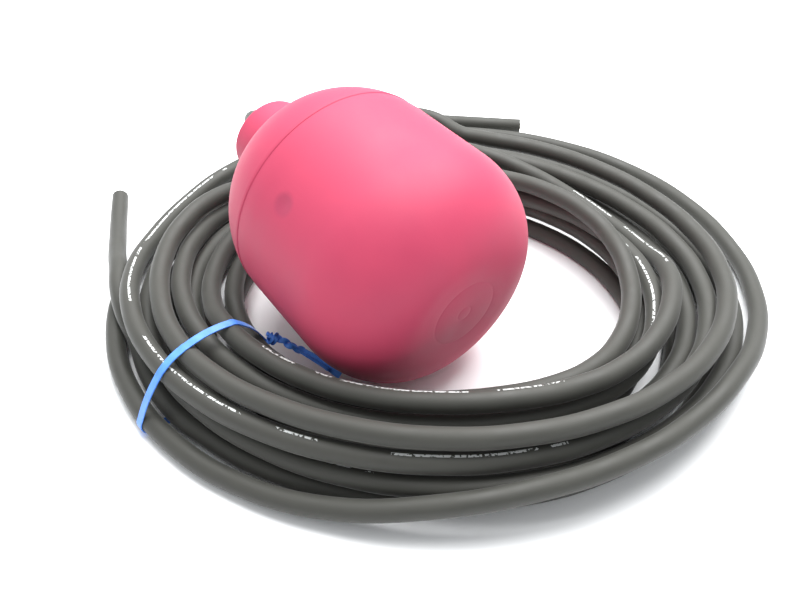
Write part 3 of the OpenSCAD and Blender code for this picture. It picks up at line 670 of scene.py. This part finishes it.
# ---------------------------------------------------------------- cable
@dataclass
class CoilPlan:
    """The coil's centreline: it spirals in, out, in and out again, and rests on itself.

    Lengths are in millimetres, angles in degrees, places along the coil in turns.

    The swing says at which turn it lies how far from the inner to the outer ring. Each ring has
    its half-axes a and b, its centre and its turn. The outer rings swell by the bulge towards
    bulge_at, and a slack stretch round loose_turn stands out by loose_out. A wave of the wander
    has its size as a share, its waves in a turn and its drift in degrees a turn.

    The tie gathers the turns at tie_at and lifts them by tie_lift. Over its last points the coil
    rises by lead_lift to the lead. Between the turns of each over_tail it crosses over the tail.
    """

    cable_d: float = 9.0
    per_turn: int = 24
    turns: float = 11.6
    rest_z: float = 3.6
    reach: float = 10.0
    start: float = 275.5
    swing_blur: int = 6
    swing: tuple = ((0, 0.82), (2.95, 0), (5.75, 1), (6.4, 1), (8.9, 0), (9.9, 0.16), (11.6, 0.82))
    ring_a: tuple = (91, 148)
    ring_b: tuple = (78.5, 132)
    ring_x: tuple = (18.5, 10)
    ring_y: tuple = (24, 29.5)
    ring_turn: tuple = (31.5, 44.5)
    bulge: float = 16
    bulge_at: float = 112
    loose_turn: float = 6.57
    loose_width: float = 0.3
    loose_out: float = 24
    wander: float = 0.8
    wander_waves: tuple = ((1.0, 2, 97), (0.6, 3, -132))
    tie_x: float = 0
    tie_at: float = 259.5
    tie_lift: float = 1.8
    tie_lift_power: int = 4
    lead_lift: float = 18
    lead_lift_from: int = 7
    lead_lift_steps: int = 3
    first_spare: float = 0.4
    over_tail: tuple = ((4.6, 5.2), (6.1, 11.6))
    tail: tuple = (
        (-155.4, -51.6, 4.5), (-143, -58, 4.5), (-126, -66, 6.5), (-108, -74, 10), (-92, -80, 13.9),
        (-76, -87, 14.6), (-60, -92, 12.7), (-45, -94.2, 8.2), (-28, -98.5, 5), (-10, -100.8, 5))

    @staticmethod
    def cos(degrees: float) -> float:
        """Cosine of an angle in degrees."""
        return math.cos(math.radians(degrees))

    @staticmethod
    def between(ends: tuple, share: float) -> float:
        """Gives the value at a share of the way from one end to the other."""
        return ends[0] + (ends[1] - ends[0]) * share

    def swung(self, turn: float) -> float:
        """Reads the swing at a turn, in straight lines and level past its ends.

        Args:
            turn: the place along the coil, in turns.

        Returns:
            The share of the way from the inner to the outer ring.
        """
        for (t0, w0), (t1, w1) in zip(self.swing, self.swing[1:]):
            if turn <= t1:
                return self.between((w0, w1), max(0.0, turn - t0) / (t1 - t0))
        return self.swing[-1][1]

    def share(self, turn: float) -> float:
        """Gives the swing at a turn, blurred over the steps next to it."""
        near = range(-self.swing_blur, self.swing_blur + 1)
        return sum(self.swung(turn + k / self.per_turn) for k in near) / len(near)

    def plan(self, i: int) -> Vector:
        """Gives one point of the coil as seen from above.

        Args:
            i: the point's number, with per_turn of them in a turn.

        Returns:
            The point in millimetres, at height 0.
        """
        t = i / self.per_turn
        w, a = self.share(t), self.start + 360 * t
        turn = math.radians(self.between(self.ring_turn, w))
        loose = 0.0
        if abs(t - self.loose_turn) < self.loose_width:
            loose = self.cos(90 * (t - self.loose_turn) / self.loose_width) ** 2
        extra = (sum(size * self.wander * math.sin(math.radians(waves * a + drift * t))
                     for size, waves, drift in self.wander_waves)
                 + self.bulge * w * (0.5 + 0.5 * self.cos(a - self.bulge_at)) ** 2
                 + self.loose_out * loose)
        angle = math.radians(a) - turn
        x = (self.between(self.ring_a, w) + extra) * math.cos(angle)
        y = (self.between(self.ring_b, w) + extra) * math.sin(angle)
        return Vector((self.between(self.ring_x, w) + x * math.cos(turn) - y * math.sin(turn),
                       self.between(self.ring_y, w) + x * math.sin(turn) + y * math.cos(turn)))

    @staticmethod
    def rest_height(p: Vector, a: Vector, b: Vector, reach: float) -> float:
        """Gives the height at which a cable over a point rests on a stretch under it.

        Args:
            p: the point as seen from above.
            a: where the stretch starts.
            b: where it ends.
            reach: distance kept between the two.

        Returns:
            The height, or 0 where the stretch doesn't lie under the point.
        """
        d = b.xy - a.xy
        t = min(1.0, max(0.0, (p.xy - a.xy).dot(d) / d.dot(d)))
        h = (p.xy - a.xy - t * d).length
        return a.z + t * (b.z - a.z) + math.sqrt(reach * reach - h * h) if h < reach else 0.0

    def settled(self, plan: list[Vector], floor: list[float], reach: float) -> list[Vector]:
        """Lays each point on the turns below it, and on the tail where that lies under it.

        Args:
            plan: the points as seen from above.
            floor: the least height of each point.
            reach: distance kept between turns that cross.

        Returns:
            The points with their heights.
        """
        done: list[Vector] = []
        tail = [Vector(p) for p in self.tail]
        for j, p in enumerate(plan):
            z = floor[j]
            for m in range(j - self.per_turn, -3, -self.per_turn):
                for k in range(m - 2, m + 2):
                    if 0 <= k and k + 1 <= j - self.per_turn / 2:
                        z = max(z, self.rest_height(p, done[k], done[k + 1], reach))
            if any(low < j / self.per_turn < high for low, high in self.over_tail):
                for a, b in zip(tail, tail[1:]):
                    z = max(z, self.rest_height(p, a, b, reach))
            done.append(Vector((p.x, p.y, z)))
        return done

    @staticmethod
    def softened(z: list[float]) -> list[float]:
        """Smooths a list of heights, all but its ends."""
        return [z[0]] + [(z[i - 1] + 2 * z[i] + z[i + 1]) / 4 for i in range(1, len(z) - 1)] + [z[-1]]

    def path(self) -> list[Vector]:
        """Lays the whole coil.

        Returns:
            Its centreline in millimetres, from the tail's end to the float's end.
        """
        count = round(self.turns * self.per_turn)
        flat = [self.plan(i) for i in range(count + 1)]
        floor = []
        for i in range(count + 1):
            near_tie = max(0.0, self.cos(self.start + 360 * i / self.per_turn - self.tie_at))
            near_lead = (i - count + self.lead_lift_from) / self.lead_lift_steps
            floor.append(self.rest_z + self.tie_lift * near_tie ** self.tie_lift_power
                         + self.lead_lift * min(1.0, max(0.0, near_lead)))
        first = self.settled(flat, floor, self.reach + self.first_spare)
        heights = self.softened(self.softened([p.z for p in first]))
        turned = self.settled(flat, heights, self.reach)
        into = (self.plan(1) - self.plan(-1)).normalized().to_3d()
        out = (turned[-1] - turned[-2]).normalized()
        return ([turned[0] - self.cable_d * into] + turned + [turned[-1] + self.cable_d * out])


@dataclass
class CutEnd:
    """The cut face at the end of a cable: filler and two stranded cores, which rise from it.

    The strands round the middle one lie strand_gap of their radii from it.
    """

    name: str
    tip: Vector
    out: Vector
    filler_r: float = 3.3
    core_r: float = 1.35
    core_at: float = 1.55
    strand_r: float = 0.28
    strand_gap: float = 2.05
    strands_round: int = 6
    stud_steps: int = 24
    filler_rise: float = 0.06
    core_rise: float = 0.3
    strand_rise: float = 0.5
    middle_rise: float = 0.55

    def build(self) -> bpy.types.Object:
        """Models what shows on the cut face and puts it on the end of the cable.

        Returns:
            The finished piece.
        """
        mesh = bmesh.new()
        self.stud(mesh, self.filler_r, (0.0, 0.0), self.filler_rise, 0)
        ring_r = self.strand_gap * self.strand_r
        for side, slot in ((-1, 1), (1, 2)):
            middle = side * self.core_at
            self.stud(mesh, self.core_r, (middle, 0.0), self.core_rise, slot)
            self.stud(mesh, self.strand_r, (middle, 0.0), self.middle_rise, 3)
            for i in range(self.strands_round):
                a = math.tau * i / self.strands_round
                spot = (middle + ring_r * math.cos(a), ring_r * math.sin(a))
                self.stud(mesh, self.strand_r, spot, self.strand_rise, 3)
        place = (Matrix.Scale(MM, 4) @ Matrix.Translation(self.tip)
                 @ self.out.to_track_quat("Z", "Y").to_matrix().to_4x4())
        bmesh.ops.transform(mesh, matrix=place, verts=mesh.verts)
        piece = new_piece(self.name, mesh)
        fit(piece, "cable_rubber", (), FILLER, CORE_BLACK, CORE_WHITE, COPPER)
        return piece

    def stud(self, mesh: bmesh.types.BMesh, radius: float, at: tuple[float, float], rise: float,
             slot: int) -> None:
        """Adds one round stud that rises from the cut face.

        Args:
            mesh: the bmesh that receives it.
            radius: its radius.
            at: where it stands on the face.
            rise: how far it stands out.
            slot: its material index.
        """
        made = bmesh.ops.create_cone(mesh, cap_ends=True, segments=self.stud_steps, radius1=radius,
                                     radius2=radius, depth=2 * rise,
                                     matrix=Matrix.Translation((*at, 0.0)))
        for face in {f for v in made["verts"] for f in v.link_faces}:
            face.material_index = slot


@dataclass
class Cable:
    """The round cable: from the neck behind the float, round the coil, to its free end.

    The lead's points run from the coil up to the neck.
    """

    shell: FloatShell
    coil: CoilPlan = field(default_factory=CoilPlan)
    entry_top: float = 150.0
    tail_stub: float = 12.0
    lead: tuple = (
        (-95, 125, 26), (-111, 106, 28), (-121, 83, 31), (-124, 59, 37), (-119, 36, 46),
        (-107, 17, 57), (-93, 5, 66))
    spare: tuple = ((-79, 189, 4.5), (-171, 101, 4.5))
    spare_spans: int = 4
    round_steps: int = 5
    cable_steps: int = 6
    spare_steps: int = 2
    laid: Optional[bpy.types.Object] = None

    def route(self) -> list[Vector]:
        """Joins the entry, the lead, the coil and the tail.

        Returns:
            The whole centreline in millimetres, from the neck to the free end.
        """
        tail = [Vector(p) for p in self.coil.tail]
        tip = tail[0] + self.tail_stub * (tail[0] - tail[1]).normalized()
        return ([self.shell.axis_point(self.entry_top)] + [Vector(p) for p in self.lead][::-1]
                + self.coil.path()[::-1] + tail[::-1] + [tip])

    def tube(self, name: str, points: list[Vector], steps: int) -> tuple[bpy.types.Object, float]:
        """Makes a round tube along the points as a curve of one open spline.

        Args:
            name: the object's name.
            points: the centreline in millimetres.
            steps: steps of the curve between two points.

        Returns:
            The curve object and its length in metres.
        """
        data = bpy.data.curves.new(name, "CURVE")
        data.dimensions = "3D"
        data.bevel_depth = self.coil.cable_d / 2 * MM
        data.bevel_resolution = self.round_steps
        data.resolution_u = steps
        data.use_fill_caps = True
        spline = data.splines.new("BEZIER")
        spline.bezier_points.add(len(points) - 1)
        for knot, point in zip(spline.bezier_points, points):
            knot.co = point * MM
            knot.handle_left_type = knot.handle_right_type = "AUTO"
        piece = bpy.data.objects.new(name, data)
        bpy.context.scene.collection.objects.link(piece)
        bpy.context.view_layer.update()
        return piece, spline.calc_length()

    def build(self) -> list[bpy.types.Object]:
        """Lays the cable and its second end.

        Returns:
            The cable, the spare end and what shows on their cut faces.
        """
        points = self.route()
        cable, length = self.tube("cable", points, self.cable_steps)
        self.laid = cable
        end = CutEnd("cable_cut_end", points[-1], (points[-1] - points[-2]).normalized()).build()
        fit(cable, "cable_rubber", ("cable_lead", "cable_coil", "cable_tail", "tail_end"),
            PRINTED_RUBBER)
        LOG.info("the cable is %.3f m long", length)
        ends = [Vector(p) for p in self.spare]
        line = [ends[1].lerp(ends[0], i / self.spare_spans) for i in range(self.spare_spans + 1)]
        spare, spare_length = self.tube("spare_end", line, self.spare_steps)
        fit(spare, "cable_rubber", ("spare_cable",), CABLE_RUBBER)
        out = (ends[0] - ends[1]).normalized()
        cuts = [CutEnd("spare_cut_end", ends[0], out).build(),
                CutEnd("spare_hidden_end", ends[1], -out).build()]
        return [cable, end, spare, *cuts]


# ---------------------------------------------------------------- tie
@dataclass
class Tie:
    """The flat blue strip round the bundle and its two twisted tails.

    A bow is how far a straight run swells, as a share of its length; it grows to that up to
    bow_full above the floor. The tails are twisted over the first share of their route, and
    widen after it. The knot is a few tight wraps near its start.
    """

    cable: Cable
    width: float = 3.8
    thickness: float = 0.5
    clearance: float = 0.4
    strand_samples: int = 9
    rim_points: int = 48
    bow: float = 0.06
    bow_step: float = 1.5
    bow_full: float = 12.0
    tail_width: float = 2.7
    tail_turns: float = 3.1
    tail_r: float = 0.8
    tail_reaches: tuple = (1.0, 0.88)
    tail_spans: int = 40
    tail_edge_steps: int = 2
    tail_steps: int = 5
    twisted: float = 0.5
    widening: float = 0.6
    knot_starts: tuple = (0.01, 0.07)
    knot_l: float = 0.05
    knot_r: float = 1.7
    knot_turns: float = 22.0
    knot_spans: int = 12
    twist: tuple = ((1, -52.6, 18.5), (5, -47.5, 16.5), (11, -44.5, 14.5), (18, -42.5, 13.8),
                    (26, -40, 12.6), (34, -38, 11))

    def crossings(self) -> list[tuple[float, float]]:
        """Finds where the laid cable passes through the plane of the tie, on the near side.

        Returns:
            (y, z) of every strand, in millimetres.
        """
        path: list[Vector] = []
        knots = self.cable.laid.data.splines[0].bezier_points
        for first, last in zip(knots, list(knots)[1:]):
            path += interpolate_bezier(first.co, first.handle_right, last.handle_left, last.co,
                                       self.strand_samples)[:-1]
        found, x = [], self.cable.coil.tie_x * MM
        for a, b in zip(path, path[1:]):
            if (a.x - x) * (b.x - x) <= 0 and a.x != b.x and a.y < 0:
                p = a.lerp(b, (x - a.x) / (b.x - a.x)) / MM
                found.append((p.y, p.z))
        return found

    def hull(self) -> list[Vector]:
        """Draws the closed line that hugs all the strands.

        Returns:
            The points of the middle of the strip, anticlockwise, with (y, z) in their x and y.
        """
        radius = self.cable.coil.cable_d / 2 + self.clearance + self.thickness / 2
        mesh = bmesh.new()
        for y, z in self.crossings():
            for i in range(self.rim_points):
                a = math.tau * i / self.rim_points
                mesh.verts.new((y + radius * math.cos(a), z + radius * math.sin(a), 0))
        result = bmesh.ops.convex_hull(mesh, input=mesh.verts)
        rim = {v for v in result["geom"] if isinstance(v, bmesh.types.BMVert)}
        middle = sum((v.co for v in rim), Vector()) / len(rim)
        line = sorted((v.co.copy() for v in rim),
                      key=lambda c: math.atan2(c.y - middle.y, c.x - middle.x))
        mesh.free()
        return self.bowed(line)

    def bowed(self, line: list[Vector]) -> list[Vector]:
        """Lets the straight runs of a closed line bow outwards, as a soft strip does.

        Args:
            line: the corners of the line, anticlockwise.

        Returns:
            The line with points added along its long runs.
        """
        soft = []
        for a, b in zip(line, line[1:] + line[:1]):
            run = b - a
            outward = Vector((run.y, -run.x, 0.0)).normalized()
            steps = max(1, round(run.length / self.bow_step))
            above = min(1.0, max(0.0, min(a.y, b.y) / self.bow_full))
            for i in range(steps):
                share = i / steps
                lift = self.bow * above * run.length * 4 * share * (1 - share)
                soft.append(a + share * run + lift * outward)
        return soft

    def build(self) -> list[bpy.types.Object]:
        """Models the strip and its tails and puts them in place of their solids.

        Returns:
            The strip and the tails.
        """
        x = self.cable.coil.tie_x
        mesh = bmesh.new()
        ring = [mesh.verts.new((x - self.width / 2, c.x, c.y)) for c in self.hull()]
        edges = [mesh.edges.new((a, b)) for a, b in zip(ring, ring[1:] + ring[:1])]
        wide = bmesh.ops.extrude_edge_only(mesh, edges=edges)
        moved = [v for v in wide["geom"] if isinstance(v, bmesh.types.BMVert)]
        bmesh.ops.translate(mesh, vec=(self.width, 0, 0), verts=moved)
        bmesh.ops.recalc_face_normals(mesh, faces=mesh.faces)
        bmesh.ops.solidify(mesh, geom=mesh.faces[:], thickness=self.thickness)
        bmesh.ops.recalc_face_normals(mesh, faces=mesh.faces)
        bmesh.ops.scale(mesh, vec=(MM, MM, MM), verts=mesh.verts)
        band = new_piece("tie_strip", mesh)
        fit(band, "tie_plastic", ("tie_band",), TIE_PLASTIC)
        return [band, self.tails()]

    def tails(self) -> bpy.types.Object:
        """Models the knot and the two tails, flat strips twisted round each other.

        Returns:
            The finished piece.
        """
        data = bpy.data.curves.new("tie_tails", "CURVE")
        data.dimensions = "3D"
        data.extrude = (self.tail_width - self.thickness) / 2 * MM
        data.bevel_depth = self.thickness / 2 * MM
        data.bevel_resolution = self.tail_edge_steps
        data.resolution_u = self.tail_steps
        for strand, reach in enumerate(self.tail_reaches):
            shares = [i / self.tail_spans * reach for i in range(self.tail_spans + 1)]
            self.strip(data, shares, self.tail_r, self.tail_turns, math.pi * strand)
        for start in self.knot_starts:
            shares = [start + self.knot_l * i / self.knot_spans for i in range(self.knot_spans + 1)]
            self.strip(data, shares, self.knot_r, self.knot_turns, 0.0)
        piece = bpy.data.objects.new("tie_tails", data)
        bpy.context.scene.collection.objects.link(piece)
        fit(piece, "tie_plastic", ("tie_twist",), TIE_PLASTIC)
        return piece

    def strip(self, data: bpy.types.Curve, shares: list[float], radius: float, turns: float,
              phase: float) -> None:
        """Adds one flat strip that winds round the route of the tails.

        Args:
            data: the curve that receives it.
            shares: where its points lie, as shares of the route.
            radius: its distance from the route, in millimetres.
            turns: how often it would go round over the whole route.
            phase: the angle at which it starts, in radians.
        """
        route = [Vector(p) for p in self.twist]
        spline = data.splines.new("BEZIER")
        spline.bezier_points.add(len(shares) - 1)
        for knot, share in zip(spline.bezier_points, shares):
            s = share * (len(route) - 1)
            k = min(int(s), len(route) - 2)
            along = (route[k + 1] - route[k]).normalized()
            side = along.cross(Vector((0, 0, 1))).normalized()
            up = side.cross(along)
            a = math.tau * turns * min(share, self.twisted) + phase
            knot.co = (route[k].lerp(route[k + 1], s - k)
                       + radius * (math.cos(a) * side + math.sin(a) * up)) * MM
            knot.tilt = a + phase / 2
            knot.radius = 1 + self.widening * max(0.0, share - self.twisted) / (1 - self.twisted)
            knot.handle_left_type = knot.handle_right_type = "AUTO"


# ---------------------------------------------------------------- studio
@dataclass
class Studio:
    """The camera, the pale floor, one large soft box and a sky that is darker on one side.

    The sky is brightest above and behind on the left. Lengths are in metres.
    """

    camera_at: tuple = (0.2489, -0.1813, 0.2716)
    camera_down: float = 40.29
    camera_heading: float = 50.5
    focal_px: float = 845.0
    frame_px: float = 800.0
    sensor_mm: float = 36.0
    floor_half: float = 4.0
    floor_tone: str = "#f4f5f6"
    floor_roughness: float = 0.7
    sky_tone: str = "#f6f8fa"
    sky_up: tuple = (-0.45, 0.1, 0.89)
    sky_dark: float = 0.15
    sky_bright: float = 1.25
    box_at: tuple = (-0.25, 0.5, 1.3)
    box_aim: tuple = (0.0, 0.02, 0.03)
    box_side: float = 1.4
    box_watts: float = 62.0

    def set_camera(self) -> None:
        """Places the camera."""
        data = bpy.data.cameras.new("camera")
        data.sensor_width = self.sensor_mm
        data.lens = self.focal_px / self.frame_px * data.sensor_width
        data.clip_start = 0.01
        camera = bpy.data.objects.new("camera", data)
        camera.location = self.camera_at
        camera.rotation_euler = (math.radians(90 - self.camera_down), 0,
                                 math.radians(self.camera_heading))
        bpy.context.scene.collection.objects.link(camera)
        bpy.context.scene.camera = camera

    def set_floor(self) -> None:
        """Lays a plain pale floor."""
        mesh = bmesh.new()
        bmesh.ops.create_grid(mesh, x_segments=1, y_segments=1, size=self.floor_half)
        floor = new_piece("floor", mesh)
        material = bpy.data.materials.new("pale_floor")
        material.use_nodes = True
        shader = material.node_tree.nodes["Principled BSDF"]
        shader.inputs["Base Color"].default_value = linear(self.floor_tone)
        shader.inputs["Roughness"].default_value = self.floor_roughness
        floor.data.materials.append(material)

    def hang_softbox(self) -> None:
        """Hangs the square soft light over the object."""
        data = bpy.data.lights.new("key", "AREA")
        data.shape = "SQUARE"
        data.size = self.box_side
        data.energy = self.box_watts
        light = bpy.data.objects.new("key", data)
        light.location = self.box_at
        aim = Vector(self.box_aim) - Vector(self.box_at)
        light.rotation_euler = aim.to_track_quat("-Z", "Y").to_euler()
        bpy.context.scene.collection.objects.link(light)

    def light_sky(self) -> None:
        """Gives the world its pale light, which fades from sky_up to the side across from it."""
        world = bpy.data.worlds.new("studio")
        world.use_nodes = True
        tree = world.node_tree
        back = tree.nodes["Background"]
        back.inputs["Color"].default_value = linear(self.sky_tone)
        way = add_node(tree, "TexCoord")
        facing = add_node(tree, "VectorMath", {"operation": "DOT_PRODUCT"}, {1: self.sky_up},
                          {0: way.outputs["Generated"]})
        strength = add_node(tree, "MapRange", inputs={
            "From Min": -1.0, "From Max": 1.0, "To Min": self.sky_dark, "To Max": self.sky_bright},
            links={"Value": facing.outputs["Value"]})
        tree.links.new(strength.outputs[0], back.inputs["Strength"])
        bpy.context.scene.world = world
        bpy.context.scene.view_settings.view_transform = "Standard"
        bpy.context.scene.view_settings.look = "None"
        bpy.context.scene.view_settings.exposure = 0.0

    def build(self) -> None:
        """Sets the camera, the floor and the lights."""
        self.set_camera()
        self.set_floor()
        self.hang_softbox()
        self.light_sky()


def dress_nodes(nodes: dict[str, bpy.types.Object]) -> None:
    """Gives every carried-over node its finish."""
    for name, finish in NODE_FINISHES.items():
        dress(nodes[name], finish)


def main() -> None:
    """Builds the scene, piece by piece."""
    logging.basicConfig(level=logging.INFO, format="%(name)s: %(message)s")
    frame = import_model()
    Studio().build()
    shell = FloatShell()
    cable = Cable(shell)
    for maker in (cable, shell, Tie(cable)):
        for piece in maker.build():
            LOG.info("made %s", piece.name)
    dress_nodes(frame["nodes"])


if __name__ == "__main__":
    main()
